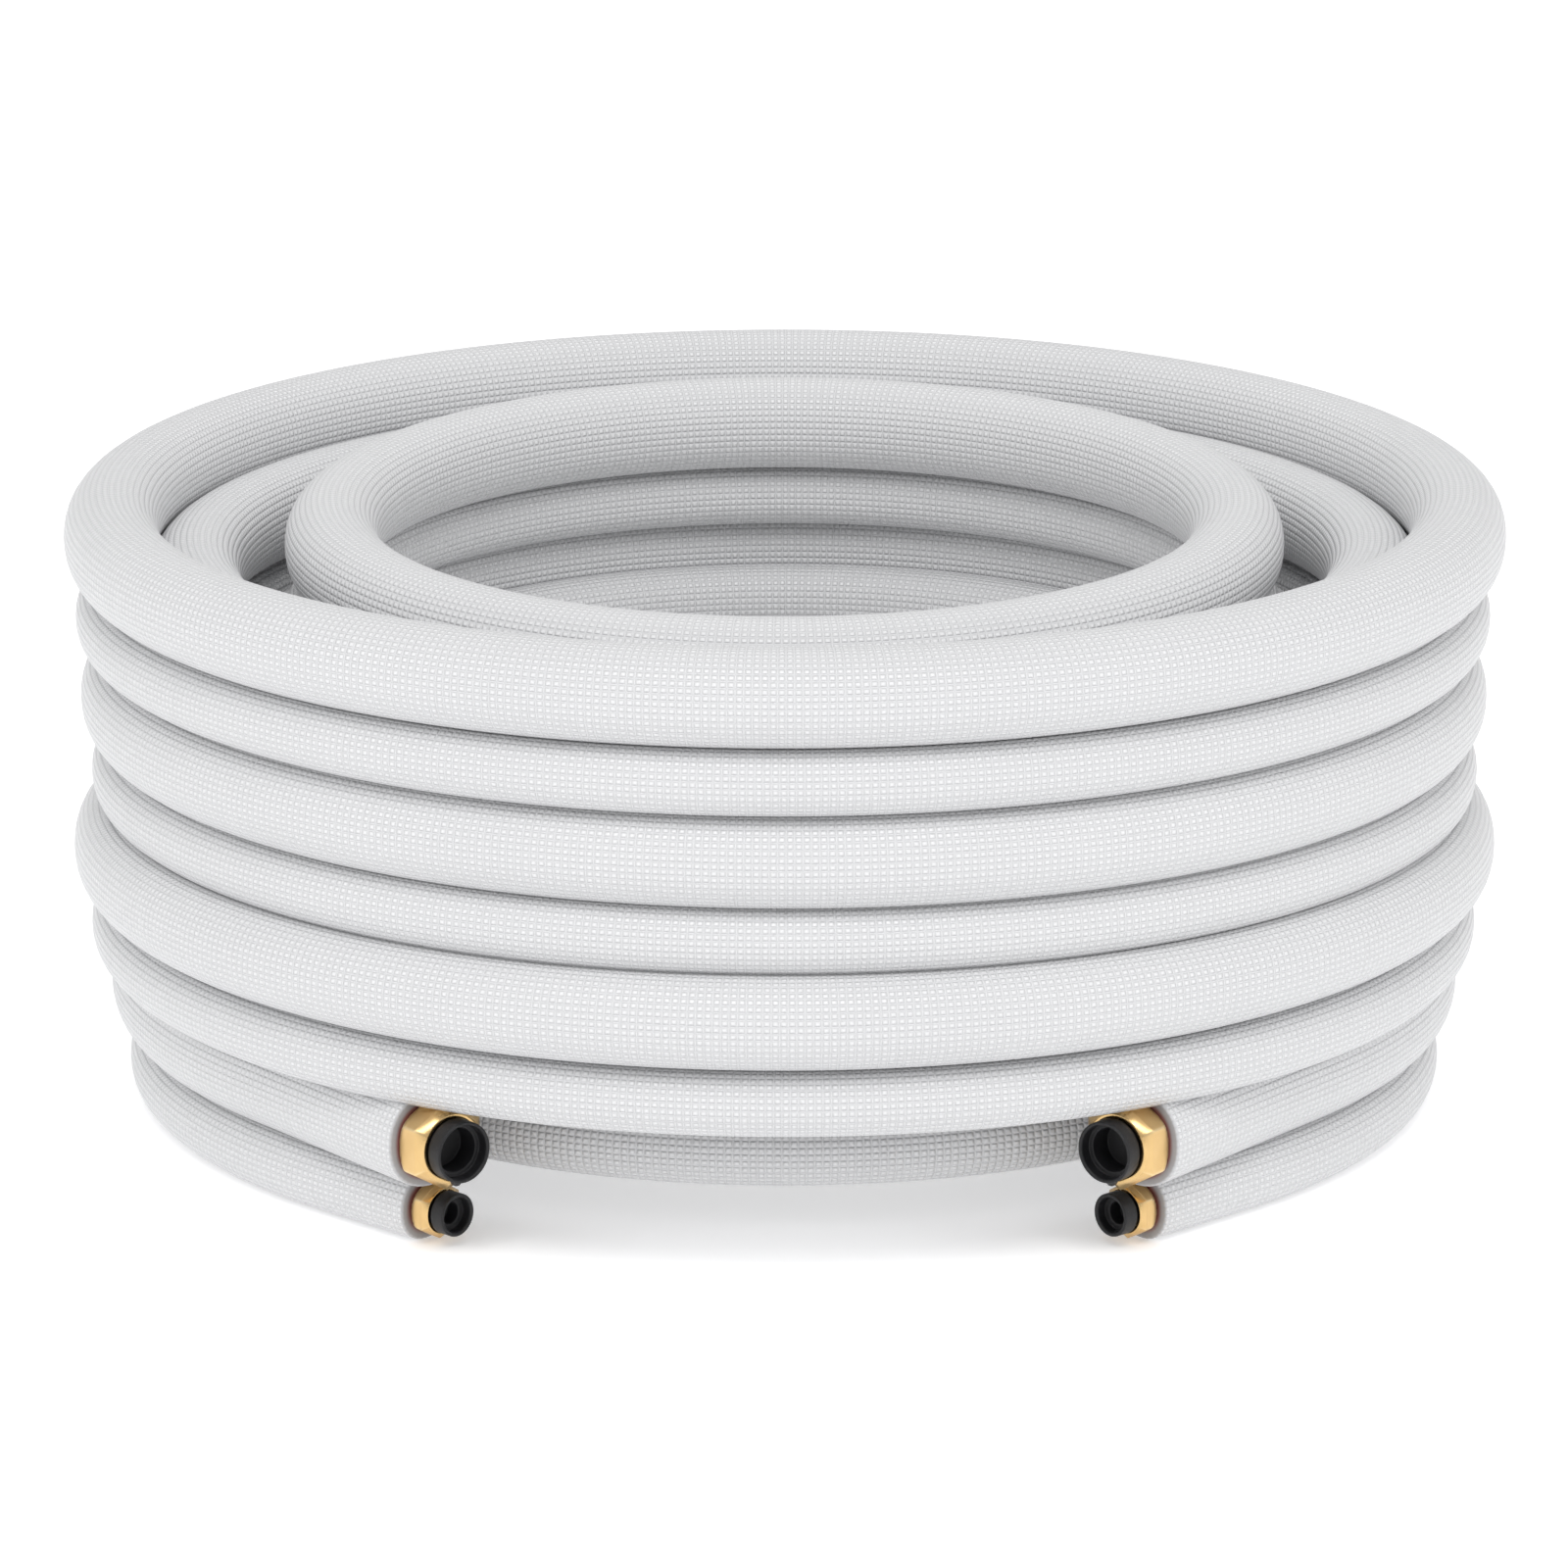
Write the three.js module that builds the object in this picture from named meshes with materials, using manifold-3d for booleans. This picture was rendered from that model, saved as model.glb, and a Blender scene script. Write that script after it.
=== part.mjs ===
import * as THREE from 'three';
import * as BufferGeometryUtils from 'three/addons/utils/BufferGeometryUtils.js';
import Module from 'manifold-3d';

const wasm = await Module();
wasm.setup();

// Mini split line set: a large insulated suction line and a small insulated liquid line,
// wound side by side into a free-standing coil with a bore. All sizes are in mm, +Z is up,
// the coil's axis is the Z axis, z = 0 is the floor and the four pipe ends are on the -Y side.

// copper pipes and their foam
const suctionPipeDiameter = 12.7;
const liquidPipeDiameter = 6.35;
const suctionFoamWall = 9.55;
const liquidFoamWall = 8.0;
const suctionRadius = suctionPipeDiameter / 2 + suctionFoamWall;
const liquidRadius = liquidPipeDiameter / 2 + liquidFoamWall;

// the coil's three tiers: the outer one by the radius of its turns, the others by how they lie in it
const outerTurnRadius = 228;
const outerWaistDrawIn = 4.6;
const outerFootDrawIn = 2.4;
const tierGap = 1.5;
const middleDrop = 17.5;
const middleWaistDrawIn = 9.7;
const middleFootClearance = 3.4;
const grooveWidth = 14.9;
const innerDrop = 5;
const innerSecondBack = 5;
const innerThirdBack = 19.6;
const innerFourthForward = 3;
const turnPress = 0.35;
const middleTurnGap = 1.6;
const middleFootGap = 11;
const webHalfWidth = 6;

// where the coil's section runs on a turn's round, from and to, in degrees up from level
const outerCrownArc = [195, 80];
const outerSideArc = [60, -90];
const outerUnderArc = [-125, -160];
const middleUnderArc = [-5, -70];
const middleFootArc = [45, -200];
const middleInnerArc = [-140, -170];
const innerUnderArc = [-40, -90];
const boreArc = [-112.5, -247.5];
const innerGrooveArc = [90, 40];
const middleGrooveArc = [-180, -310];

// the end pair, the lowest turns of the outer tier: each is set in from the tier's radius, lies a
// little back of the coil's axis, leaves its circle that many degrees from the front and runs on straight
const suctionEnd = { setIn: 12.5, back: 11.5, leaveAngle: 52, lead: 90 };
const liquidEnd = { setIn: 14.3, back: 3.5, leaveAngle: 44, lead: 45 };
const seatClearance = 0.3;

// what shows at each end: a flare nut and its thread cap, with the nut's shank and the pipe in the foam
const pipeClearance = 0.3;
const pipeTuck = 24;
const pipeWall = 0.8;
const pipePastShoulder = 0.5;
const nutClearance = 0.4;
const suctionNut = { flats: 26, long: 12, thread: 19.05, frontChamfer: 2, shank: 17.5, shankLong: 7 };
const liquidNut = { flats: 17, long: 8, thread: 11.1, frontChamfer: 1.8, shank: 10.5, shankLong: 5 };
const nutFaceIn = 0.4;
const suctionNutRear = { faceIn: 1.8, chamfer: 3.2 };
const liquidNutRear = { faceIn: 1.5, chamfer: 3.4 };
const suctionCap = { rim: 19.4, show: 6.6, plug: 7, wall: 1.5, plugWall: 1.8, step: 4.2 };
const liquidCap = { rim: 14.4, show: 6.2, plug: 3.8, wall: 1.6, plugWall: 1.6, step: 3.6 };
const nutShoulder = 3.2;
const capClearance = 0.3;
const capFloor = 1.4;
const capTab = { long: 3, wide: 3.2, thick: 2 };

// how finely the round forms are cut
const coilSteps = 60;
const roundDegrees = 45;
const suctionSides = 16;
const liquidSides = 12;
const endTurnSteps = 60;
const fittingSides = 24;

const degree = Math.PI / 180;
const up = new THREE.Vector3(0, 0, 1);

function material(name, color, roughness, metalness) {
  const made = new THREE.MeshStandardMaterial({ color: new THREE.Color(...color), roughness, metalness });
  made.name = name;
  return made;
}

const foam = material('foam_insulation', [0.8, 0.81, 0.82], 0.55, 0);
const copper = material('copper_pipe', [0.72, 0.35, 0.2], 0.35, 1);
const brass = material('brass_nut', [0.76, 0.58, 0.3], 0.3, 1);
const blackPlastic = material('black_cap_plastic', [0.03, 0.03, 0.035], 0.4, 0);

const part = new THREE.Group();
part.name = 'mini_split_line_set';

function addPiece(name, geometry, made) {
  const mesh = new THREE.Mesh(geometry, made);
  mesh.name = name;
  part.add(mesh);
}

function toSolid(geometry) {
  const bare = geometry.clone();
  bare.deleteAttribute('normal');
  bare.deleteAttribute('uv');
  const merged = BufferGeometryUtils.mergeVertices(bare, 1e-4);
  return new wasm.Manifold(new wasm.Mesh({
    numProp: 3,
    vertProperties: new Float32Array(merged.attributes.position.array),
    triVerts: new Uint32Array(merged.index.array),
  }));
}

function toGeometry(solid) {
  const mesh = solid.getMesh();
  const geometry = new THREE.BufferGeometry();
  geometry.setAttribute('position', new THREE.BufferAttribute(new Float32Array(mesh.vertProperties), 3));
  geometry.setIndex(new THREE.BufferAttribute(new Uint32Array(mesh.triVerts), 1));
  const split = geometry.toNonIndexed();
  split.computeVertexNormals();
  return split;
}

// A closed (radius, height) profile turned about +Z.
function turned(profile, steps) {
  const around = [...profile, profile[0]].map((p) => new THREE.Vector2(p[0], p[1]));
  return new THREE.LatheGeometry(around, steps).rotateX(Math.PI / 2);
}

// A section of the winding: the round of one turn, as its centre and its size.
function turn(radius, height, size) {
  return { radius, height, size };
}

// A column of turns from the top down, suction and liquid in turn, each next to the one above.
function tier(radii, topHeight, gap, footGap = gap) {
  const turns = [];
  radii.forEach((radius, i) => {
    const size = i % 2 === 0 ? suctionRadius : liquidRadius;
    let height = topHeight;
    if (i > 0) {
      const last = turns[i - 1];
      const reach = last.size + size + (i === radii.length - 1 ? footGap : gap);
      height = last.height - Math.sqrt(reach ** 2 - (last.radius - radius) ** 2);
    }
    turns.push(turn(radius, height, size));
  });
  return turns;
}

// Part of a turn's round, from one angle to another, as (radius, height) points.
function roundOf(one, from, to) {
  const steps = Math.max(2, Math.round(Math.abs(to - from) / roundDegrees));
  const points = [];
  for (let i = 0; i <= steps; i += 1) {
    const angle = (from + ((to - from) * i) / steps) * degree;
    points.push([one.radius + one.size * Math.cos(angle), one.height + one.size * Math.sin(angle)]);
  }
  return points;
}

// The direction from one turn's centre to another's, in degrees up from level.
function directionTo(one, other) {
  return Math.atan2(other.height - one.height, other.radius - one.radius) / degree;
}

// Half the angle that the web to a neighbouring turn covers on a turn's round.
function webAngle(one) {
  return Math.asin(webHalfWidth / one.size) / degree;
}

// The side of a tier that faces away from the coil's axis, from its top to its foot.
function outwardSide(turns, from, to) {
  return turns.flatMap((one, i) => roundOf(
    one,
    i === 0 ? from : directionTo(one, turns[i - 1]) - webAngle(one),
    i === turns.length - 1 ? to : directionTo(one, turns[i + 1]) + webAngle(one),
  ));
}

// The side of a tier that faces the coil's axis, from its foot to its top.
function inwardSide(turns, from, to) {
  const rising = [...turns].reverse();
  return rising.flatMap((one, i) => roundOf(
    one,
    i === 0 ? from : directionTo(one, rising[i - 1]) - webAngle(one),
    i === rising.length - 1 ? to : directionTo(one, rising[i + 1]) + webAngle(one) - 360,
  ));
}

const suctionApothem = suctionRadius * Math.cos(Math.PI / suctionSides);
const liquidApothem = liquidRadius * Math.cos(Math.PI / liquidSides);
const endLiquidHeight = liquidApothem;
const endSuctionHeight = endLiquidHeight + liquidApothem + seatClearance + suctionApothem;

// The end pair's radii, and how near the suction line's foam comes to the coil's axis in front.
const suctionEndRadius = outerTurnRadius - suctionEnd.setIn;
const liquidEndRadius = outerTurnRadius - liquidEnd.setIn;
const suctionEndPullIn = suctionEnd.back * Math.cos(suctionEnd.leaveAngle * degree);
const suctionEndReach = suctionEndRadius - suctionEndPullIn - suctionRadius;

const middleSetIn = Math.sqrt((2 * suctionRadius + tierGap) ** 2 - middleDrop ** 2);
const middleTurnRadius = outerTurnRadius - middleSetIn;
const innerTurnRadius = middleTurnRadius - 2 * suctionRadius - grooveWidth;

const outerRadii = [
  outerTurnRadius,
  outerTurnRadius,
  outerTurnRadius - outerWaistDrawIn,
  outerTurnRadius - outerWaistDrawIn,
  outerTurnRadius - outerFootDrawIn,
  outerTurnRadius - outerFootDrawIn,
];
const middleRadii = [
  middleTurnRadius,
  middleTurnRadius,
  middleTurnRadius,
  middleTurnRadius,
  middleTurnRadius - middleWaistDrawIn,
  suctionEndReach - middleFootClearance - liquidRadius,
];
const innerRadii = [
  innerTurnRadius,
  innerTurnRadius + innerSecondBack,
  innerTurnRadius + innerThirdBack,
  innerTurnRadius - innerFourthForward,
  innerTurnRadius,
  innerTurnRadius,
];

// The outer tier's foot rests on the end pair's suction line, so its top follows from that.
const outerFromZero = tier(outerRadii, 0, -turnPress);
const footRise = suctionApothem + seatClearance + liquidRadius;
const outerTop = endSuctionHeight + footRise - outerFromZero.at(-1).height;

const outerTurns = tier(outerRadii, outerTop, -turnPress);
const middleTurns = tier(middleRadii, outerTop - middleDrop, middleTurnGap, middleFootGap);
const innerTurns = tier(innerRadii, outerTop - innerDrop, -turnPress);

// Down the outside, under the three tiers, up the bore, over the inner tier, and down and up
// the groove between it and the middle tier, whose floor is the inner tier's third turn.
const outside = outwardSide(outerTurns, ...outerSideArc);
const underside = [
  ...roundOf(outerTurns.at(-1), ...outerUnderArc),
  ...roundOf(middleTurns.at(-2), ...middleUnderArc),
  ...roundOf(middleTurns.at(-1), ...middleFootArc),
  ...roundOf(middleTurns.at(-2), ...middleInnerArc),
  ...roundOf(innerTurns.at(-1), ...innerUnderArc),
];
const boreSide = inwardSide(innerTurns, ...boreArc);
const groove = [
  ...outwardSide(innerTurns.slice(0, 3), ...innerGrooveArc),
  ...inwardSide(middleTurns.slice(0, 2), ...middleGrooveArc),
];
const crown = roundOf(outerTurns[0], ...outerCrownArc);
const coilSection = [...outside, ...underside, ...boreSide, ...groove, ...crown];
addPiece('line_set_coil', turned(coilSection.reverse(), coilSteps), foam);

// The path of an end line: in along its left lead, round the coil's back, out along its right lead.
class EndLinePath extends THREE.Curve {
  constructor(end, radius, height) {
    super();
    this.radius = radius;
    this.lead = end.lead;
    this.start = (270 - end.leaveAngle) * degree;
    this.centre = new THREE.Vector3(0, end.back, height);
    this.round = radius * (360 - 2 * end.leaveAngle) * degree;
    this.long = 2 * end.lead + this.round;
  }

  angleAt(s) {
    return this.start - Math.min(Math.max(s - this.lead, 0), this.round) / this.radius;
  }

  tangentAt(s) {
    const angle = this.angleAt(s);
    return new THREE.Vector3(Math.sin(angle), -Math.cos(angle), 0);
  }

  getPoint(t) {
    const s = t * this.long;
    const angle = this.angleAt(s);
    const before = Math.min(s - this.lead, 0);
    const after = Math.max(s - this.lead - this.round, 0);
    const outward = new THREE.Vector3(Math.cos(angle), Math.sin(angle), 0);
    return this.centre.clone().addScaledVector(outward, this.radius)
      .addScaledVector(this.tangentAt(s), before + after);
  }

  getUtoTmapping(u) {
    return u;
  }

  computeFrenetFrames(segments) {
    const frames = { tangents: [], normals: [], binormals: [] };
    for (let i = 0; i <= segments; i += 1) {
      const tangent = this.tangentAt((i / segments) * this.long);
      frames.tangents.push(tangent);
      frames.normals.push(new THREE.Vector3().crossVectors(up, tangent));
      frames.binormals.push(up.clone());
    }
    return frames;
  }
}

// A round line's section, with a flat underneath and on top.
function lineSection(radius, sides) {
  const corners = [];
  for (let i = 0; i < sides; i += 1) {
    const angle = ((i + 0.5) * 2 * Math.PI) / sides;
    corners.push(new THREE.Vector2(radius * Math.sin(angle), -radius * Math.cos(angle)));
  }
  return new THREE.Shape(corners);
}

// The frame of one end: +Z out along the lead from the foam's end, +Y up.
function endFrame(path, side) {
  const at = side === 'left' ? 0 : 1;
  const out = path.tangentAt(at * path.long).multiplyScalar(side === 'left' ? -1 : 1);
  const across = new THREE.Vector3().crossVectors(up, out);
  return new THREE.Matrix4().makeBasis(across, up, out).setPosition(path.getPoint(at));
}

// The foam of an end line, with a recess in each end for the pipe and the nut's shank.
function endLine(path, radius, sides, pipeDiameter, nut) {
  const section = lineSection(radius, sides);
  let solid = toSolid(new THREE.ExtrudeGeometry(section, { steps: endTurnSteps, extrudePath: path }));
  const bore = pipeDiameter / 2 + pipeClearance;
  const pocket = nut.shank / 2 + nutClearance;
  const pocketDepth = nut.shankLong - nutClearance + seatClearance;
  ['left', 'right'].forEach((side) => {
    const recess = turned([
      [0, -pipeTuck - seatClearance],
      [bore, -pipeTuck - seatClearance],
      [bore, -pocketDepth],
      [pocket, -pocketDepth],
      [pocket, 1],
      [0, 1],
    ], fittingSides);
    solid = solid.subtract(toSolid(recess.applyMatrix4(endFrame(path, side))));
  });
  return toGeometry(solid);
}

// A reach of pipe from inside the foam to inside the nut.
function pipeReach(pipeDiameter) {
  const outer = pipeDiameter / 2;
  const inner = outer - pipeWall;
  const end = nutClearance + nutShoulder + pipePastShoulder;
  return turned([[inner, -pipeTuck], [outer, -pipeTuck], [outer, end], [inner, end]], fittingSides);
}

// A hexagon with its corners turned off at both ends and a round shank behind it, bored for the
// pipe and for the thread.
function flareNut(pipeDiameter, nut, rear) {
  const corner = nut.flats / Math.sqrt(3);
  const start = nutClearance;
  const end = start + nut.long;
  const hexagon = new THREE.CylinderGeometry(corner, corner, nut.long, 6);
  hexagon.rotateX(Math.PI / 2).translate(0, 0, (start + end) / 2);
  const rounding = turned([
    [0, start],
    [nut.flats / 2 - rear.faceIn, start],
    [corner, start + rear.chamfer],
    [corner, end - nut.frontChamfer],
    [nut.flats / 2 - nutFaceIn, end],
    [0, end],
  ], fittingSides * 2);
  const shank = turned([
    [0, start - nut.shankLong],
    [nut.shank / 2, start - nut.shankLong],
    [nut.shank / 2, start + 1],
    [0, start + 1],
  ], fittingSides);
  const shoulder = start + nutShoulder;
  const bore = turned([
    [0, start - nut.shankLong - 1],
    [pipeDiameter / 2 + pipeClearance, start - nut.shankLong - 1],
    [pipeDiameter / 2 + pipeClearance, shoulder],
    [nut.thread / 2, shoulder],
    [nut.thread / 2, end + 1],
    [0, end + 1],
  ], fittingSides);
  const head = toSolid(hexagon).intersect(toSolid(rounding));
  return toGeometry(head.add(toSolid(shank)).subtract(toSolid(bore)));
}

// A thread cap: a plug in the nut and a rim that stands out of it, hollowed in two steps from outside.
function threadCap(nut, cap) {
  const face = nutClearance + nut.long;
  const plug = nut.thread / 2 - capClearance;
  const rim = cap.rim / 2;
  const seat = face + capClearance;
  const front = face + cap.show;
  const back = face - cap.plug;
  const body = turned([
    [0, back],
    [plug, back],
    [plug, seat],
    [rim, seat],
    [rim, front],
    [rim - cap.wall, front],
    [rim - cap.wall, front - cap.step],
    [plug - cap.plugWall, front - cap.step],
    [plug - cap.plugWall, back + capFloor],
    [0, back + capFloor],
  ], fittingSides);
  const tab = new THREE.BoxGeometry(capTab.wide, capTab.thick, capTab.long);
  tab.translate(0, 0.5 - rim - capTab.thick / 2, seat + capTab.long / 2);
  return toGeometry(toSolid(body).add(toSolid(tab)));
}

function addEndLine(lineName, path, line, fittings) {
  const { radius, sides, pipeDiameter } = line;
  const { nut, rear, cap } = fittings;
  addPiece(`${lineName}_end_turn`, endLine(path, radius, sides, pipeDiameter, nut), foam);
  ['left', 'right'].forEach((side) => {
    const place = endFrame(path, side);
    addPiece(`${lineName}_pipe_${side}`, pipeReach(pipeDiameter).applyMatrix4(place), copper);
    addPiece(`${lineName}_flare_nut_${side}`, flareNut(pipeDiameter, nut, rear).applyMatrix4(place), brass);
    addPiece(`${lineName}_thread_cap_${side}`, threadCap(nut, cap).applyMatrix4(place), blackPlastic);
  });
}

addEndLine(
  'suction',
  new EndLinePath(suctionEnd, suctionEndRadius, endSuctionHeight),
  { radius: suctionRadius, sides: suctionSides, pipeDiameter: suctionPipeDiameter },
  { nut: suctionNut, rear: suctionNutRear, cap: suctionCap },
);
addEndLine(
  'liquid',
  new EndLinePath(liquidEnd, liquidEndRadius, endLiquidHeight),
  { radius: liquidRadius, sides: liquidSides, pipeDiameter: liquidPipeDiameter },
  { nut: liquidNut, rear: liquidNutRear, cap: liquidCap },
);

export default part;
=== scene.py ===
import math
import bpy
import numpy as np
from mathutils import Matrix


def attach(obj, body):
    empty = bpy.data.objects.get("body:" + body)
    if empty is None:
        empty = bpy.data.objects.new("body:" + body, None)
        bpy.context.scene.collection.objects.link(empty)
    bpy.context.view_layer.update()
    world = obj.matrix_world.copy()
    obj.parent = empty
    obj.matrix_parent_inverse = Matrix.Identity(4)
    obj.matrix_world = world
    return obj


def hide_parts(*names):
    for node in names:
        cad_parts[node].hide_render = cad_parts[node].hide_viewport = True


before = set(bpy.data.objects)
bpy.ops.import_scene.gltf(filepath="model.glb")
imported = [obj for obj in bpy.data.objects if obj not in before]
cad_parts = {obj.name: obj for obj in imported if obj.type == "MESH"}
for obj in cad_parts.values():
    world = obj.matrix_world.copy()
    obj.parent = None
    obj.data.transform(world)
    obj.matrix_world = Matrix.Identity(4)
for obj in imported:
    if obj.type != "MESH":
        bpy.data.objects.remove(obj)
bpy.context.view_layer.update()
mm = 0.001
lineKinds = ("suction", "liquid")
upward = np.array([0.0, 0.0, 1.0])
print("frame loaded:", len(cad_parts), "solids")


# the camera looks along +Y and down at the coil, from the side where the pipe ends come out
view = {
    "distance": 3.0,
    "elevation": math.radians(15.23),
    "targetHeight": 0.1037,
    "focalPixels": 8947,
    "frameWidth": 1600,
    "sensorWidth": 36.0,
    "nearest": 0.05,
    "farthest": 60.0,
}


def placeCamera():
    camera = bpy.data.cameras.new("studioCamera")
    holder = bpy.data.objects.new("studioCamera", camera)
    bpy.context.scene.collection.objects.link(holder)
    rise = view["elevation"]
    holder.location = (
        0.0,
        -view["distance"] * math.cos(rise),
        view["targetHeight"] + view["distance"] * math.sin(rise),
    )
    holder.rotation_euler = (math.pi / 2 - rise, 0.0, 0.0)
    camera.sensor_width = view["sensorWidth"]
    camera.lens = view["focalPixels"] / view["frameWidth"] * camera.sensor_width
    camera.clip_start = view["nearest"]
    camera.clip_end = view["farthest"]
    bpy.context.scene.camera = holder


placeCamera()
print("placed the camera")


def newGroup(name, inputs, outputs):
    group = bpy.data.node_groups.new(name, "ShaderNodeTree")
    for label, kind, value in inputs:
        made = group.interface.new_socket(name=label, in_out="INPUT", socket_type=kind)
        if value is not None:
            made.default_value = value
    for label, kind in outputs:
        group.interface.new_socket(name=label, in_out="OUTPUT", socket_type=kind)
    nodes = group.nodes
    return group, nodes, group.links, nodes.new("NodeGroupInput"), nodes.new("NodeGroupOutput")


def mathNode(nodes, links, operation, first, second=None, third=None):
    made = nodes.new("ShaderNodeMath")
    made.operation = operation
    for i, value in enumerate([first, second, third]):
        if value is None:
            continue
        if isinstance(value, (int, float)):
            made.inputs[i].default_value = value
        else:
            links.new(value, made.inputs[i])
    return made.outputs[0]


def buildPillowGrid():
    # height = (1 - |cos(pi u)|^sharp) * (1 - |cos(pi v)|^sharp), one pillow to each unit of the UV map;
    # groove = 1 - height; pit = |cos(pi u)|^sharp * |cos(pi v)|^sharp, a dot where two grooves cross
    group, nodes, links, given, put = newGroup(
        "pillowGrid",
        [("Grid", "NodeSocketVector", None), ("Sharpness", "NodeSocketFloat", 5.0)],
        [("Height", "NodeSocketFloat"), ("Groove", "NodeSocketFloat"), ("Pit", "NodeSocketFloat")],
    )
    split = nodes.new("ShaderNodeSeparateXYZ")
    links.new(given.outputs["Grid"], split.inputs[0])
    sides, walls = [], []
    for axis in (0, 1):
        angle = mathNode(nodes, links, "MULTIPLY", split.outputs[axis], math.pi)
        wave = mathNode(nodes, links, "COSINE", angle)
        wall = mathNode(nodes, links, "ABSOLUTE", wave)
        narrow = mathNode(nodes, links, "POWER", wall, given.outputs["Sharpness"])
        walls.append(narrow)
        sides.append(mathNode(nodes, links, "SUBTRACT", 1.0, narrow))
    height = mathNode(nodes, links, "MULTIPLY", sides[0], sides[1])
    links.new(height, put.inputs["Height"])
    links.new(mathNode(nodes, links, "MULTIPLY", walls[0], walls[1]), put.inputs["Pit"])
    links.new(mathNode(nodes, links, "SUBTRACT", 1.0, height), put.inputs["Groove"])
    return group


# dust is the fine noise above dustFrom, and full from dustFull up
speckle = {
    "fineScale": 900.0,
    "slowScale": 14.0,
    "fineDetail": 1.0,
    "slowDetail": 3.0,
    "dustFrom": 0.70,
    "dustFull": 0.78,
}


def buildDustAndDrift():
    # dust = a fine noise cut off high, which leaves sparse specks; drift = a slow noise, for uneven colour
    group, nodes, links, given, put = newGroup(
        "dustAndDrift",
        [
            ("Place", "NodeSocketVector", None),
            ("Fine Scale", "NodeSocketFloat", speckle["fineScale"]),
            ("Slow Scale", "NodeSocketFloat", speckle["slowScale"]),
        ],
        [("Dust", "NodeSocketFloat"), ("Drift", "NodeSocketFloat")],
    )
    fine = nodes.new("ShaderNodeTexNoise")
    slow = nodes.new("ShaderNodeTexNoise")
    for node, socket in ((fine, "Fine Scale"), (slow, "Slow Scale")):
        links.new(given.outputs["Place"], node.inputs["Vector"])
        links.new(given.outputs[socket], node.inputs["Scale"])
    fine.inputs["Detail"].default_value = speckle["fineDetail"]
    slow.inputs["Detail"].default_value = speckle["slowDetail"]
    cut = nodes.new("ShaderNodeMapRange")
    cut.inputs["From Min"].default_value = speckle["dustFrom"]
    cut.inputs["From Max"].default_value = speckle["dustFull"]
    links.new(fine.outputs[0], cut.inputs["Value"])
    links.new(cut.outputs[0], put.inputs["Dust"])
    links.new(slow.outputs[0], put.inputs["Drift"])
    return group


pillowGrid = buildPillowGrid()
dustAndDrift = buildDustAndDrift()


def startMaterial(name):
    made = bpy.data.materials.new(name)
    made.use_nodes = True
    nodes, links = made.node_tree.nodes, made.node_tree.links
    return made, nodes, links, nodes["Principled BSDF"]


def mixColours(nodes, links, factor, first, second):
    made = nodes.new("ShaderNodeMix")
    made.data_type = "RGBA"
    for socket, value in ((made.inputs[0], factor), (made.inputs[6], first), (made.inputs[7], second)):
        if isinstance(value, (int, float, tuple)):
            socket.default_value = value
        else:
            links.new(value, socket)
    return made.outputs[2]


def useGroup(nodes, group):
    made = nodes.new("ShaderNodeGroup")
    made.node_tree = group
    return made


def objectPlace(nodes):
    return nodes.new("ShaderNodeTexCoord").outputs["Object"]


def placeDust(nodes, links, place, facts):
    # the shared dust group; a piece without scales of its own keeps those of the group
    dust = useGroup(nodes, dustAndDrift)
    for socket, key in (("Slow Scale", "slowScale"), ("Fine Scale", "fineScale")):
        if key in facts:
            dust.inputs[socket].default_value = facts[key]
    links.new(place, dust.inputs["Place"])
    return dust


def readMark(nodes, name):
    made = nodes.new("ShaderNodeAttribute")
    made.attribute_name = name
    return made.outputs["Fac"]


def addBump(nodes, links, shader, height, facts):
    bump = nodes.new("ShaderNodeBump")
    bump.inputs["Distance"].default_value = facts["bumpHeight"]
    bump.inputs["Strength"].default_value = facts["bumpStrength"]
    links.new(height, bump.inputs["Height"])
    links.new(bump.outputs[0], shader.inputs["Normal"])


# The embossed jacket on both lines: small square pillows in a grid, in two whites, with painted shade in the
# grooves and darker painted shade where two grooves cross; a cut end takes grey painted shade and a brown
# painted copper reflection. The pitches are in mm.
jacket = {
    "pitchAlong": 2.5,
    "pitchAround": 2.2,
    "white": (0.775, 0.777, 0.785, 1.0),
    "shade": (0.74, 0.742, 0.753, 1.0),
    # painted shade, laid into the grooves and, stronger, into the pits where two grooves cross
    "grooveShade": (0.16, 0.165, 0.18, 1.0),
    "grooveShare": 0.05,
    "pitShare": 0.22,
    # painted light on the cut end: grey painted shade, and towards the pipe a brown painted reflection of
    # the copper
    "paintedCopperReflection": (0.24, 0.085, 0.075, 1.0),
    "paintedCutShade": (0.33, 0.335, 0.36, 1.0),
    "roughness": 0.30,
    "grooveRoughness": 0.25,
    "bumpHeight": 0.55 * mm,
    "bumpStrength": 1.0,
}


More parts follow.
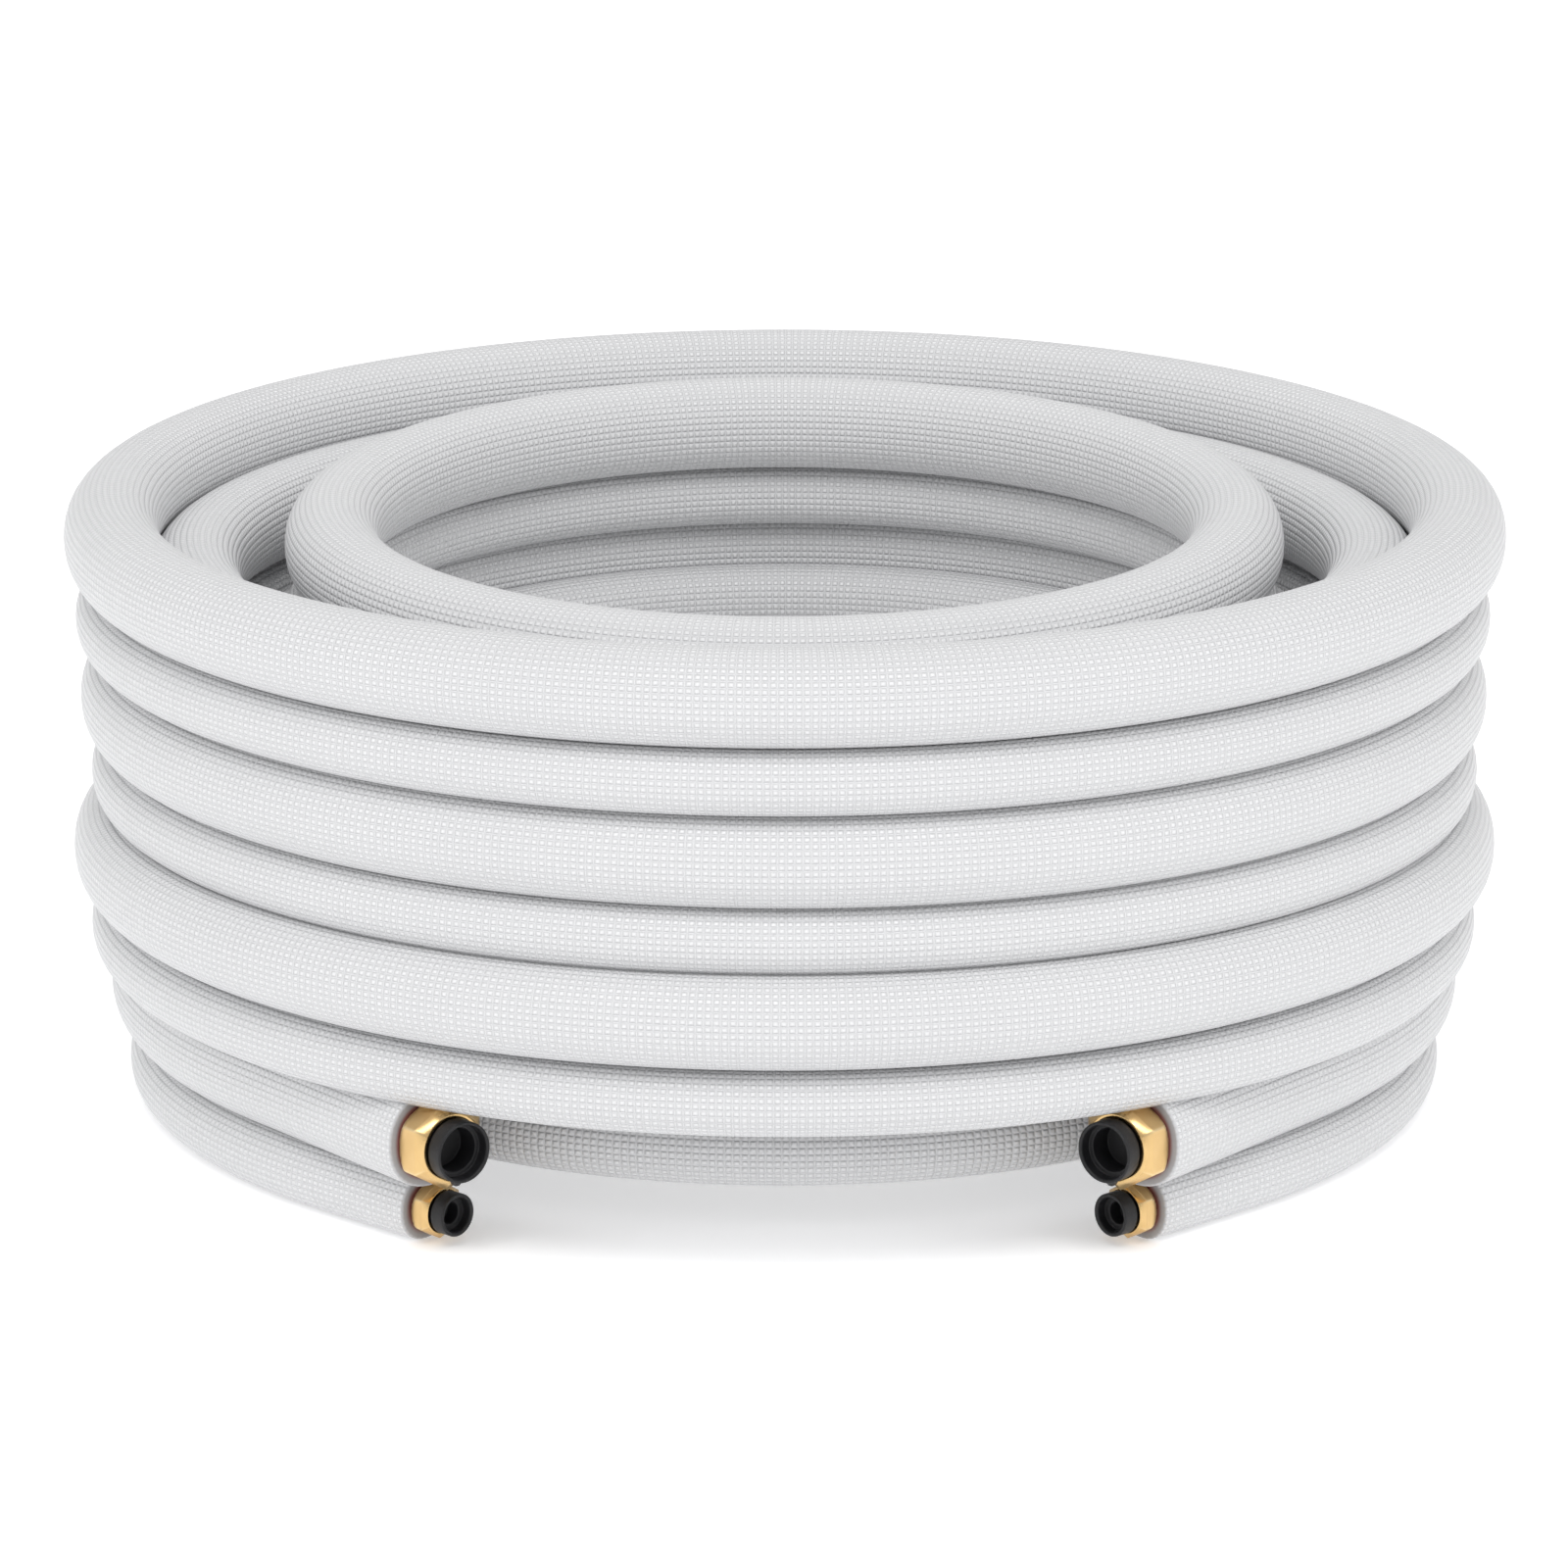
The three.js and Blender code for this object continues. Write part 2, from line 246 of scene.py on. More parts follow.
def jacketMaterial():
    # the mark "cut" is 1 on cut foam and 0 on the jacket; the second mark is 1 where the cut face takes a
    # brown painted copper reflection and 0 where it takes grey painted shade
    made, nodes, links, shader = startMaterial("embossedJacket")
    grid = nodes.new("ShaderNodeUVMap")
    grid.uv_map = "pillowUv"
    pillows = useGroup(nodes, pillowGrid)
    links.new(grid.outputs[0], pillows.inputs["Grid"])
    groove = pillows.outputs["Groove"]
    drift = placeDust(nodes, links, objectPlace(nodes), jacket).outputs["Drift"]
    cut = readMark(nodes, "cut")
    base = mixColours(nodes, links, drift, jacket["white"], jacket["shade"])
    # painted shade: the grooves, and most of all the dots where two grooves cross, are darkened in the
    # colour
    paintedGrooveShade = mathNode(nodes, links, "MULTIPLY", groove, jacket["grooveShare"])
    paintedGrooveShade = mathNode(nodes, links, "MULTIPLY_ADD", pillows.outputs["Pit"], jacket["pitShare"], paintedGrooveShade)
    grooved = mixColours(nodes, links, paintedGrooveShade, base, jacket["grooveShade"])
    # the cut face: grey painted shade, and inside it a brown painted reflection of the copper
    cutColour = mixColours(nodes, links, readMark(nodes, "paintedReflection"), jacket["paintedCutShade"], jacket["paintedCopperReflection"])
    shown = mixColours(nodes, links, cut, grooved, cutColour)
    links.new(shown, shader.inputs["Base Color"])
    rough = mathNode(nodes, links, "MULTIPLY_ADD", groove, jacket["grooveRoughness"], jacket["roughness"])
    links.new(rough, shader.inputs["Roughness"])
    jacketOnly = mathNode(nodes, links, "SUBTRACT", 1.0, cut)
    emboss = mathNode(nodes, links, "MULTIPLY", pillows.outputs["Height"], jacketOnly)
    addBump(nodes, links, shader, emboss, jacket)
    return made


embossedJacket = jacketMaterial()
print("mixed the jacket material")


def fullTurn(steps):
    return np.linspace(0, 2 * math.pi, steps, endpoint=False)


def pillowsAround(size):
    return round(2 * math.pi * size / jacket["pitchAround"])


def closedFaces(rings, along, around):
    # faces of several tubes, each closed along and around: corner numbers, the place of each corner
    # along and around its tube, and the number of the tube
    ring, i, j = np.meshgrid(np.arange(rings), np.arange(along), np.arange(around), indexing="ij")
    base = ring * along * around
    row, nextRow = base + i * around, base + (i + 1) % along * around
    nextJ = (j + 1) % around
    quads = np.stack([row + j, nextRow + j, nextRow + nextJ, row + nextJ], -1).reshape(-1, 4)
    u = np.stack([i, i + 1, i + 1, i], -1).reshape(-1, 4)
    v = np.stack([j, j, j + 1, j + 1], -1).reshape(-1, 4)
    owner = np.repeat(ring.reshape(-1, 1), 4, axis=1)
    return quads, u, v, owner


def openFaces(rows, around):
    # faces of one tube that is closed around and ends at its first and last row: corner numbers, the
    # row and the place around of each corner, and a lid for each end
    i, j = np.meshgrid(np.arange(rows - 1), np.arange(around), indexing="ij")
    row, nextRow = i * around, (i + 1) * around
    nextJ = (j + 1) % around
    quads = np.stack([row + j, row + nextJ, nextRow + nextJ, nextRow + j], -1).reshape(-1, 4)
    u = np.stack([i, i, i + 1, i + 1], -1).reshape(-1, 4)
    v = np.stack([j, j + 1, j + 1, j], -1).reshape(-1, 4)
    lids = [np.arange(around)[::-1], (rows - 1) * around + np.arange(around)]
    return quads, u, v, lids


def putMesh(name, points, quads, uv=None, marks=None, lids=()):
    # quads is a whole array of corner numbers; each lid is one face that closes a ring of points, and
    # each mark is one value to a point
    totals = np.concatenate([np.full(len(quads), 4), [len(lid) for lid in lids]]).astype(np.int32)
    loops = np.concatenate([quads.ravel(), *lids]).astype(np.int32)
    mesh = bpy.data.meshes.new(name)
    mesh.vertices.add(len(points))
    mesh.vertices.foreach_set("co", points.astype(np.float32).ravel())
    mesh.loops.add(len(loops))
    mesh.loops.foreach_set("vertex_index", loops)
    mesh.polygons.add(len(totals))
    mesh.polygons.foreach_set("loop_start", (np.cumsum(totals) - totals).astype(np.int32))
    mesh.polygons.foreach_set("loop_total", totals)
    mesh.update(calc_edges=True)
    mesh.polygons.foreach_set("use_smooth", np.ones(len(totals), bool))
    if uv is not None:
        layer = mesh.uv_layers.new(name="pillowUv")
        lidUv = np.zeros((len(loops) - quads.size, 2))
        allUv = np.concatenate([uv.reshape(-1, 2), lidUv])
        layer.data.foreach_set("uv", allUv.astype(np.float32).ravel())
    for label, values in (marks or {}).items():
        mark = mesh.attributes.new(label, "FLOAT", "POINT")
        mark.data.foreach_set("value", np.asarray(values, np.float32).ravel())
    made = bpy.data.objects.new(name, mesh)
    bpy.context.scene.collection.objects.link(made)
    return made


def dress(piece, material, nodeName):
    piece.data.materials.append(material)
    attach(piece, "root")
    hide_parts(nodeName)


# Each tier's turns from top to bottom, by radius, drop below the top turn and lean of the turn's plane.
# The two lines take turns, the suction line first. Sizes in mm. Each wave is its count in a turn, its
# phase for each step of the turn's number, and its share of the wander.
winding = {
    "suctionSize": 15.9,
    "liquidSize": 11.175,
    "top": 195.3,
    "outer": {
        "radius": [227.8, 228.5, 223.1, 224.7, 226.9, 225.8],
        "drop": [0.0, 27.6, 55.1, 81.4, 107.4, 134.9],
        "lean": [1.5, 0.8, 0.0, 0.0, 0.0, 0.0],
        "firstNumber": 0,
    },
    "middle": {
        "radius": [199.7, 199.7, 199.7, 198.0, 190.0, 178.0],
        "drop": [17.5, 45.0, 72.5, 100.5, 128.0, 166.5],
        "lean": [0.0, 0.0, 0.0, 0.0, 0.0, 0.0],
        "firstNumber": 7,
    },
    "inner": {
        "radius": [153.9, 158.9, 173.0, 150.0, 153.0, 153.0],
        "drop": [5.1, 30.6, 52.0, 64.5, 92.0, 119.0],
        "lean": [5.1, 4.0, 2.6, 1.6, 0.6, 0.0],
        "firstNumber": 13,
    },
    "liquidShift": 3.3,
    "wander": 0.35,
    "waves": [(2, 1.7, 1.0), (3, 2.9, 0.6), (5, 0.8, 0.35)],
    "squareness": 2.2,
    "alongSteps": 320,
    "suctionAround": 44,
    "liquidAround": 32,
}


def pressedRound(size, b):
    # a round with fuller shoulders: (cos b, sin b) / (|cos b|^n + |sin b|^n)^(1/n), times the size
    n = winding["squareness"]
    fullness = (np.abs(np.cos(b)) ** n + np.abs(np.sin(b)) ** n) ** (-1 / n)
    return size * np.cos(b) * fullness, size * np.sin(b) * fullness


def woundTurns(name, tier, kind):
    # point = (turn radius + waves + pressed round outwards) towards angle a, at the height of the turn
    # + lean * sin a + pressed round upwards; a runs along the turn and b around the line
    facts = winding[tier]
    pick = slice(lineKinds.index(kind), None, 2)
    radius, drop, lean = (np.array(facts[key][pick]) for key in ("radius", "drop", "lean"))
    size = winding[kind + "Size"]
    along, around = winding["alongSteps"], winding[kind + "Around"]
    rings = len(radius)
    a = fullTurn(along)[None, :, None]
    b = fullTurn(around)[None, None, :]
    shift = winding["liquidShift"] if kind == "liquid" else 0
    number = np.arange(rings)[:, None, None] + facts["firstNumber"] + shift
    waves = sum(share * np.cos(count * a + phase * number) for count, phase, share in winding["waves"])
    ringRadius = radius[:, None, None] + winding["wander"] * waves
    ringHeight = winding["top"] - drop[:, None, None] + lean[:, None, None] * np.sin(a)
    across, rise = pressedRound(size, b)
    reach = ringRadius + across
    places = np.broadcast_arrays(reach * np.cos(a), reach * np.sin(a), ringHeight + rise)
    points = np.stack(places, -1).reshape(-1, 3) * mm
    quads, u, v, owner = closedFaces(rings, along, around)
    countAlong = np.round(2 * math.pi * radius / jacket["pitchAlong"])
    uv = np.stack([u / along * countAlong[owner], v / around * pillowsAround(size)], -1)
    piece = putMesh(name, points, quads, uv, {"cut": np.zeros(len(points))})
    dress(piece, embossedJacket, "line_set_coil")
    print("wound", name, "in", rings, "turns")


for tierName in ("outer", "middle", "inner"):
    for lineKind in lineKinds:
        woundTurns(f"{lineKind}Turns{tierName.capitalize()}", tierName, lineKind)


# The lowest turns of the outer tier, with the four ends. Sizes in mm, as in the coil. Each is a
# circle set back by "back", which the line leaves "leave" degrees to each side of the front.
endLines = {
    "suction": {
        "radius": 215.5,
        "back": 11.5,
        "leave": 52,
        "lead": 90,
        "height": 37.2,
        "pocket": 9.15,
        "pipe": 6.35,
    },
    "liquid": {
        "radius": 213.7,
        "back": 3.5,
        "leave": 44,
        "lead": 45,
        "height": 11.1,
        "pocket": 5.65,
        "pipe": 3.175,
    },
    "bodySteps": 420,
    "rimSteps": 6,
    "rimRound": 0.9,
    "rimCut": 0.9,
    # width of the grey painted shade on the cut face, next to the rim
    "paintedShadeRim": 1.2,
    "recessDepth": 7.0,
    "recessLip": 0.3,
    "recessFloor": 0.8,
    "floorGap": 0.02,
}


def roundLength(kind):
    facts = endLines[kind]
    return facts["radius"] * (2 * math.pi - 2 * math.radians(facts["leave"]))


def pathLength(kind):
    return 2 * endLines[kind]["lead"] + roundLength(kind)


def endPath(kind, s):
    # straight lead, circle, straight lead, by the distance s: place = circle centre + radius towards the
    # angle reached at s, + what s has short of or past the circle, along the way there
    facts = endLines[kind]
    leave = math.radians(facts["leave"])
    angle = 1.5 * math.pi - leave - np.clip(s - facts["lead"], 0, roundLength(kind)) / facts["radius"]
    spare = np.minimum(s - facts["lead"], 0) + np.maximum(s - facts["lead"] - roundLength(kind), 0)
    way = np.stack([np.sin(angle), -np.cos(angle), 0 * angle], -1)
    spot = np.stack([np.cos(angle), np.sin(angle), 0 * angle], -1) * facts["radius"]
    spot = spot + np.array([0, facts["back"], facts["height"]]) + spare[..., None] * way
    return spot, way


def endFrame(kind, side):
    # the place at one end of the foam, with the ways across, up and out along the line
    spot, way = endPath(kind, np.array([0.0 if side == "left" else pathLength(kind)]))
    out = way[0] * (-1 if side == "left" else 1)
    return spot[0], np.cross(upward, out), upward, out


def endRows(facts, size):
    # from the recess floor up its wall, over the cut face and round the rim: the distance in from the
    # end, the size, and the mark "cut"
    steps, rim = endLines["rimSteps"], endLines["rimRound"]
    pocket, depth = facts["pocket"], endLines["recessDepth"]
    quarter = np.linspace(0, math.pi / 2, steps)
    rimInward, rimSize = rim * (1 - np.sin(quarter)), size - rim * (1 - np.cos(quarter))
    face = np.linspace(pocket, size - rim, steps)[1:-1]
    wall = [depth, depth, depth / 2, endLines["recessLip"], 0.0]
    inward = np.concatenate([wall, 0 * face, rimInward[::-1]])
    floorSize = facts["pipe"] * endLines["recessFloor"]
    sizes = np.concatenate([[floorSize], [pocket] * 4, face, rimSize[::-1]])
    cut = np.concatenate([np.full(len(sizes) - steps, 1.0), np.linspace(endLines["rimCut"], 0.0, steps)])
    return inward, sizes, cut


def endTurn(kind):
    # point = place on the path + pressed round at angle b * the row's size, with the rows of one end, of
    # the jacket and of the other end; no point is below the floor gap
    size, around = winding[kind + "Size"], winding[kind + "Around"]
    long, rim = pathLength(kind), endLines["rimRound"]
    inward, endSizes, endCut = endRows(endLines[kind], size)
    body = np.linspace(rim, long - rim, endLines["bodySteps"])[1:-1]
    s = np.concatenate([inward, body, long - inward[::-1]])
    sizes = np.concatenate([endSizes, np.full(len(body), size), endSizes[::-1]])
    cut = np.concatenate([endCut, 0 * body, endCut[::-1]])
    spot, way = endPath(kind, s)
    outward = np.cross(upward, way)
    across, rise = pressedRound(1.0, fullTurn(around))
    ringPoints = across[None, :, None] * outward[:, None, :] + rise[None, :, None] * upward
    points = spot[:, None, :] + ringPoints * sizes[:, None, None]
    points[..., 2] = np.maximum(points[..., 2], endLines["floorGap"])
    quads, u, v, lids = openFaces(len(s), around)
    uv = np.stack([(s / jacket["pitchAlong"])[u], v / around * pillowsAround(size)], -1)
    # the grey painted shade covers the rounded rim and one more band of this width; inside, the colour turns
    # to the brown painted copper reflection
    paintedReflection = np.clip((size - rim - endLines["paintedShadeRim"] - sizes) / endLines["paintedShadeRim"], 0, 1)
    marks = {"cut": np.repeat(cut, around), "paintedReflection": np.repeat(paintedReflection, around)}
    piece = putMesh(f"{kind}EndTurn", points.reshape(-1, 3) * mm, quads, uv, marks, lids)
    dress(piece, embossedJacket, f"{kind}_end_turn")
    print("laid", piece.name, "in", round(long), "mm")


for lineKind in lineKinds:
    endTurn(lineKind)


def roundedProfile(corners, radius, steps=4):
    # the corners of an open profile, each cut back and joined by an arc-like quadratic:
    # (1 - t)^2 first + 2 t (1 - t) corner + t^2 last
    corners = np.array(corners, float)
    mostCut = 0.45
    rows = [corners[0]]
    for before, here, after in zip(corners[:-2], corners[1:-1], corners[2:]):
        backWay, nextWay = before - here, after - here
        backLong, nextLong = np.linalg.norm(backWay), np.linalg.norm(nextWay)
        cut = min(radius, mostCut * backLong, mostCut * nextLong)
        first = here + backWay / backLong * cut
        last = here + nextWay / nextLong * cut
        t = np.linspace(0, 1, steps)[:, None]
        rows.extend((1 - t) ** 2 * first + 2 * t * (1 - t) * here + t ** 2 * last)
    rows.append(corners[-1])
    return np.array(rows)


def intoEnd(kind, side, outs, angle, sizes):
    # point = place of the end + size * (cos(angle) across + sin(angle) up) + distance out along the line
    spot, across, up, out = endFrame(kind, side)
    ring = np.cos(angle)[:, None] * across + np.sin(angle)[:, None] * up
    return (spot + sizes[..., None] * ring + outs[:, None, None] * out).reshape(-1, 3) * mm


# Machined brass: flats a little duller than the turned parts, and worn edges.
brass = {
    "bright": (0.80, 0.565, 0.27, 1.0),
    "dull": (0.68, 0.45, 0.19, 1.0),
    "edge": (0.95, 0.76, 0.45, 1.0),
    "edgeShare": 0.7,
    "roughness": 0.34,
    "turnedRoughness": -0.14,
    "driftRoughness": 0.08,
    "slowScale": 120.0,
    "grainScale": 2200.0,
    "bumpHeight": 0.03 * mm,
    "bumpStrength": 0.5,
}


def brassMaterial():
    # the mark "worn" is 1 on an edge, and "turned" is 1 where the profile is inside the hexagon
    made, nodes, links, shader = startMaterial("machinedBrass")
    place = objectPlace(nodes)
    drift = placeDust(nodes, links, place, brass).outputs["Drift"]
    base = mixColours(nodes, links, drift, brass["bright"], brass["dull"])
    edge = mathNode(nodes, links, "MULTIPLY", readMark(nodes, "worn"), brass["edgeShare"])
    links.new(mixColours(nodes, links, edge, base, brass["edge"]), shader.inputs["Base Color"])
    shader.inputs["Metallic"].default_value = 1.0
    turned = readMark(nodes, "turned")
    rough = mathNode(nodes, links, "MULTIPLY_ADD", turned, brass["turnedRoughness"], brass["roughness"])
    rough = mathNode(nodes, links, "MULTIPLY_ADD", drift, brass["driftRoughness"], rough)
    links.new(rough, shader.inputs["Roughness"])
    grain = nodes.new("ShaderNodeTexNoise")
    grain.inputs["Scale"].default_value = brass["grainScale"]
    links.new(place, grain.inputs["Vector"])
    addBump(nodes, links, shader, grain.outputs[0], brass)
    return made


machinedBrass = brassMaterial()


# Flare nuts: hexagons with turned-off corners, a shank in the foam and a bore for the cap. A profile
# that clears the corners leaves the hexagon as it is.
nuts = {
    "suction": {
        "flats": 26.0,
        "long": 12.0,
        "thread": 9.525,
        "shank": 8.75,
        "shankLong": 6.6,
        "deep": 8.4,
        "mouth": 9.9,
        "mouthDeep": 0.8,
        "face": 11.2,
        "frontTurn": 2.9,
        "rearSize": 10.2,
        "rearLong": 5.4,
        "sharp": 60,
    },
    "liquid": {
        "flats": 17.0,
        "long": 8.0,
        "thread": 5.55,
        "shank": 5.25,
        "shankLong": 4.6,
        "deep": 5.5,
        "mouth": 6.9,
        "mouthDeep": 1.6,
        "face": 7.6,
        "frontTurn": 2.2,
        "rearSize": 6.0,
        "rearLong": 5.6,
        "sharp": 22,
    },
    "start": 0.4,
    "mouthChamfer": 0.4,
    "pastCorner": 0.5,
    "clearCorner": 0.8,
    "clearStep": 0.1,
    "domeSteps": 9,
    "domePower": 0.9,
    "rounding": 0.3,
    "lidShare": 0.3,
    "wornWidth": 0.5,
    "wornAngle": 0.05,
    "aroundSteps": 144,
}


def nutProfile(facts, corner):
    # (distance out, size) from the bore's floor over the mouth, face and corners, down the rear dome
    # and along the shank; dome size = rear size + what is left to the corner * cos(dome angle)^power
    start, end = nuts["start"], nuts["start"] + facts["long"]
    past, clear = corner + nuts["pastCorner"], corner + nuts["clearCorner"]
    boreFloor, mouthFloor = end - facts["deep"], end - facts["mouthDeep"]
    shankEnd, frontTurn = start - facts["shankLong"], end - facts["frontTurn"]
    dome = np.linspace(0, math.pi / 2, nuts["domeSteps"])
    domeOut = start + facts["rearLong"] * (1 - np.sin(dome))
    domeSize = facts["rearSize"] + (past - facts["rearSize"]) * np.cos(dome) ** nuts["domePower"]
    front = roundedProfile([
        (boreFloor, facts["thread"] * nuts["lidShare"]),
        (boreFloor, facts["thread"]),
        (mouthFloor, facts["thread"]),
        (mouthFloor, facts["mouth"]),
        (end - nuts["mouthChamfer"], facts["mouth"]),
        (end, facts["mouth"] + nuts["mouthChamfer"]),
        (end, facts["face"]),
        (frontTurn, past),
        (frontTurn - nuts["clearStep"], clear),
    ], nuts["rounding"])
    rear = roundedProfile([
        (start, facts["rearSize"]),
        (start, facts["shank"]),
        (shankEnd, facts["shank"]),
        (shankEnd, facts["shank"] * nuts["lidShare"]),
    ], nuts["rounding"])
    rearTurn = [(start + facts["rearLong"] + nuts["clearStep"], clear)]
    return np.concatenate([front, rearTurn, np.stack([domeOut, domeSize], -1), rear[1:]])


def flareNut(kind, side):
    # size = (hexagon^-n + turned profile^-n)^(-1/n), the smaller of the two with a soft edge, where
    # hexagon = half the flats / cos(angle from the middle of the nearest flat)
    facts, around = nuts[kind], nuts["aroundSteps"]
    flat, halfSide = facts["flats"] / 2, math.pi / 6
    profile = nutProfile(facts, flat / math.cos(halfSide))
    angle = fullTurn(around)
    fromFlat = (angle + halfSide) % (math.pi / 3) - halfSide
    hexagon = flat / np.cos(fromFlat)
    turnedSize = profile[:, 1:2]
    sizes = (hexagon ** -facts["sharp"] + turnedSize ** -facts["sharp"]) ** (-1 / facts["sharp"])
    turnedEdge = np.clip(1 - np.abs(turnedSize - hexagon) / nuts["wornWidth"], 0, 1)
    cornerEdge = np.clip(1 - (halfSide - np.abs(fromFlat)) / nuts["wornAngle"], 0, 1) * (sizes > flat)
    marks = {"worn": np.maximum(turnedEdge, cornerEdge), "turned": (turnedSize < hexagon) * 1.0}
    quads, _, _, lids = openFaces(len(profile), around)
    points = intoEnd(kind, side, profile[:, 0], angle, sizes)
    piece = putMesh(f"{kind}FlareNut{side.capitalize()}", points, quads, None, marks, lids)
    dress(piece, machinedBrass, f"{kind}_flare_nut_{side}")


# Moulded black plastic, a little dusty.
plastic = {
    "black": (0.008, 0.008, 0.009, 1.0),
    "grey": (0.016, 0.016, 0.018, 1.0),
    "dust": (0.3, 0.3, 0.3, 1.0),
    "dustShare": 0.25,
    "specular": 0.35,
    "roughness": 0.40,
    "driftRoughness": 0.14,
    "slowScale": 160.0,
    "fineScale": 3000.0,
    "bumpHeight": 0.04 * mm,
    "bumpStrength": 0.4,
}


def plasticMaterial():
    made, nodes, links, shader = startMaterial("mouldedBlack")
    dust = placeDust(nodes, links, objectPlace(nodes), plastic)
    drift = dust.outputs["Drift"]
    base = mixColours(nodes, links, drift, plastic["black"], plastic["grey"])
    dusted = mathNode(nodes, links, "MULTIPLY", dust.outputs["Dust"], plastic["dustShare"])
    links.new(mixColours(nodes, links, dusted, base, plastic["dust"]), shader.inputs["Base Color"])
    shader.inputs["Specular IOR Level"].default_value = plastic["specular"]
    rough = mathNode(nodes, links, "MULTIPLY_ADD", drift, plastic["driftRoughness"], plastic["roughness"])
    links.new(rough, shader.inputs["Roughness"])
    addBump(nodes, links, shader, drift, plastic)
    return made


mouldedBlack = plasticMaterial()


# Thread caps: a plug, a rim that stands out of the nut, a wide shallow hollow and a narrow deep one.
# The nib is on the rim's rows next to the nut, and only on the suction line's caps.
caps = {
    "suction": {
        "rim": 10.2,
        "show": 6.6,
        "wall": 1.3,
        "step": 4.2,
        "bore": 7.3,
        "back": 7.0,
        "neck": 9.1,
        "nib": 2.0,
    },
    "liquid": {
        "rim": 7.2,
        "show": 6.2,
        "wall": 1.5,
        "step": 3.6,
        "bore": 3.6,
        "back": 3.8,
        "neck": 5.25,
        "nib": 0.0,
    },
    "neckShow": 0.7,
    "endWall": 1.4,
    "lipDeep": 0.6,
    "lipWide": 0.45,
    "nibEnd": 3.4,
    "nibMiddle": 1.6,
    "nibReach": 3.6,
    "nibFade": 1.2,
    "nibHalfAngle": math.radians(9),
    "rimSlack": 0.05,
    "rounding": 0.4,
    "lidShare": 0.2,
    "aroundSteps": 96,
}


def threadCap(kind, side):
    # size = turned profile + nib * exp(-(angle from below / half angle)^4) on the rows of the nib
    facts, around = caps[kind], caps["aroundSteps"]
    face = nuts["start"] + nuts[kind]["long"]
    front, back, rimStart = face + facts["show"], face - facts["back"], face + caps["neckShow"]
    hollow, rim, neck = facts["rim"] - facts["wall"], facts["rim"], facts["neck"]
    profile = roundedProfile([
        (back + caps["endWall"], facts["bore"] * caps["lidShare"]),
        (back + caps["endWall"], facts["bore"]),
        (front - facts["step"], facts["bore"]),
        (front - facts["step"], hollow),
        (front - caps["lipDeep"], hollow),
        (front, hollow + caps["lipWide"]),
        (front, rim),
        (rimStart + caps["nibEnd"], rim),
        (rimStart + caps["nibMiddle"], rim),
        (rimStart, rim),
        (rimStart, neck),
        (back, neck),
        (back, neck * caps["lidShare"]),
    ], caps["rounding"])
    angle = fullTurn(around)
    fromBelow = (angle - 1.5 * math.pi + math.pi) % (2 * math.pi) - math.pi
    bell = np.exp(-(fromBelow / caps["nibHalfAngle"]) ** 4)
    nearNut = np.clip((rimStart + caps["nibReach"] - profile[:, 0]) / caps["nibFade"], 0, 1)
    reach = (profile[:, 1] > rim - caps["rimSlack"]) * nearNut
    sizes = profile[:, 1:2] + facts["nib"] * reach[:, None] * bell
    quads, _, _, lids = openFaces(len(profile), around)
    points = intoEnd(kind, side, profile[:, 0], angle, sizes)
    piece = putMesh(f"{kind}ThreadCap{side.capitalize()}", points, quads, lids=lids)
    dress(piece, mouldedBlack, f"{kind}_thread_cap_{side}")


# The pipes keep their solids from the frame and take this copper.
copper = {
    "bright": (0.78, 0.36, 0.20, 1.0),
    "dark": (0.45, 0.17, 0.09, 1.0),
    "roughness": 0.33,
    "driftRoughness": 0.2,
    "slowScale": 90.0,
}


def copperMaterial():
    made, nodes, links, shader = startMaterial("annealedCopper")
    drift = placeDust(nodes, links, objectPlace(nodes), copper).outputs["Drift"]
    links.new(mixColours(nodes, links, drift, copper["bright"], copper["dark"]), shader.inputs["Base Color"])
    shader.inputs["Metallic"].default_value = 1.0
    rough = mathNode(nodes, links, "MULTIPLY_ADD", drift, copper["driftRoughness"], copper["roughness"])
    links.new(rough, shader.inputs["Roughness"])
    return made


annealedCopper = copperMaterial()
for lineKind in lineKinds:
    for endSide in ("left", "right"):
        flareNut(lineKind, endSide)
        threadCap(lineKind, endSide)
        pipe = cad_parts[f"{lineKind}_pipe_{endSide}"]
        pipe.data.materials.clear()
        pipe.data.materials.append(annealedCopper)
print("fitted the nuts and caps")


